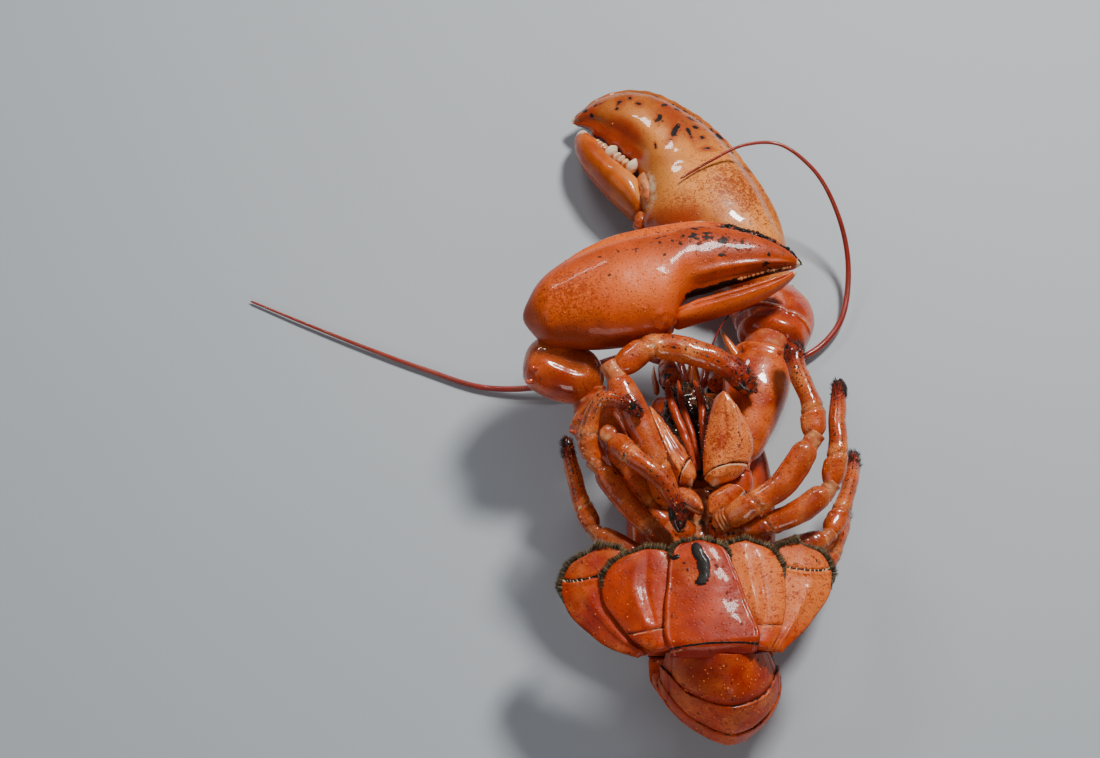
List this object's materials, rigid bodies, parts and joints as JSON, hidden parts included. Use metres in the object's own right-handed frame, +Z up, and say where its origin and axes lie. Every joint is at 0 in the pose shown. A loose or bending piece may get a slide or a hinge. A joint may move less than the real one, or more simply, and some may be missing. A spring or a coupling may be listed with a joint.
{
  "type": "cooked lobster",
  "caption": "Cooked lobster lying on its back, both claws forward, tail curled round so that its fan lies over the belly.",
  "frame": {"origin": "on the resting surface, on the flat spot under the carapace, which lies on its back there", "axes": "+Y along the body towards the head and claws, +Z up out of the belly, +X towards the animal's own left side"},
  "size_m": [0.2544, 0.2928, 0.0768],
  "materials": {
    "shell_red": "glossy boiled shell, red-orange with darker mottling",
    "shell_orange": "glossy boiled shell of arms and legs, orange with pale joints",
    "claw_orange": "glossy claw shell, peach to red-orange with dark speckles along its ridges",
    "membrane_cream": "soft cream membrane between the legs",
    "mouth_brown": "dark hairy small mouthparts",
    "feeler_red": "dark red horny feeler",
    "eye_black": "black glossy eye",
    "tooth_cream": "pale hard teeth on the claws' inner edges",
    "bristle_brown": "olive brown to black bristles at the fan's edge and on leg tips"
  },
  "bodies": {
    "root": {"arm_base_left": "shell_orange", "arm_base_right": "shell_orange", "arm_upper_left": "shell_orange", "arm_upper_right": "shell_orange", "arm_wrist_left": "shell_orange", "arm_wrist_right": "shell_orange", "carapace": "shell_red", "crusher_palm": "claw_orange", "crusher_thumb": "claw_orange", "cutter_palm": "claw_orange", "cutter_thumb": "claw_orange", "eye_left": "eye_black", "eye_right": "eye_black", "fan_left_inner": "shell_red", "fan_left_outer": "shell_red", "fan_right_inner": "shell_red", "fan_right_outer": "shell_red", "feeler_base_left": "shell_red", "feeler_base_right": "shell_red", "feeler_left": "feeler_red", "feeler_right": "feeler_red", "feeler_scale_left": "shell_red", "feeler_scale_right": "shell_red", "jaw_leg_left": "shell_orange", "jaw_leg_right": "shell_orange", "leg_left_1_lower": "shell_orange", "leg_left_1_upper": "shell_orange", "leg_left_2_lower": "shell_orange", "leg_left_2_upper": "shell_orange", "leg_left_3_lower": "shell_orange", "leg_left_3_upper": "shell_orange", "leg_left_4_lower": "shell_orange", "leg_left_4_upper": "shell_orange", "leg_right_1_lower": "shell_orange", "leg_right_1_upper": "shell_orange", "leg_right_2_lower": "shell_orange", "leg_right_2_upper": "shell_orange", "leg_right_3_lower": "shell_orange", "leg_right_3_upper": "shell_orange", "leg_right_4_lower": "shell_orange", "leg_right_4_upper": "shell_orange", "mouthparts": "mouth_brown", "small_feeler_left": "feeler_red", "small_feeler_right": "feeler_red", "sternum": "membrane_cream", "tail_ring_1": "shell_red", "tail_ring_2": "shell_red", "tail_ring_3": "shell_red", "tail_ring_4": "shell_red", "tail_ring_5": "shell_red", "tail_ring_6": "shell_red", "telson": "shell_red"}
  },
  "joints": []
}
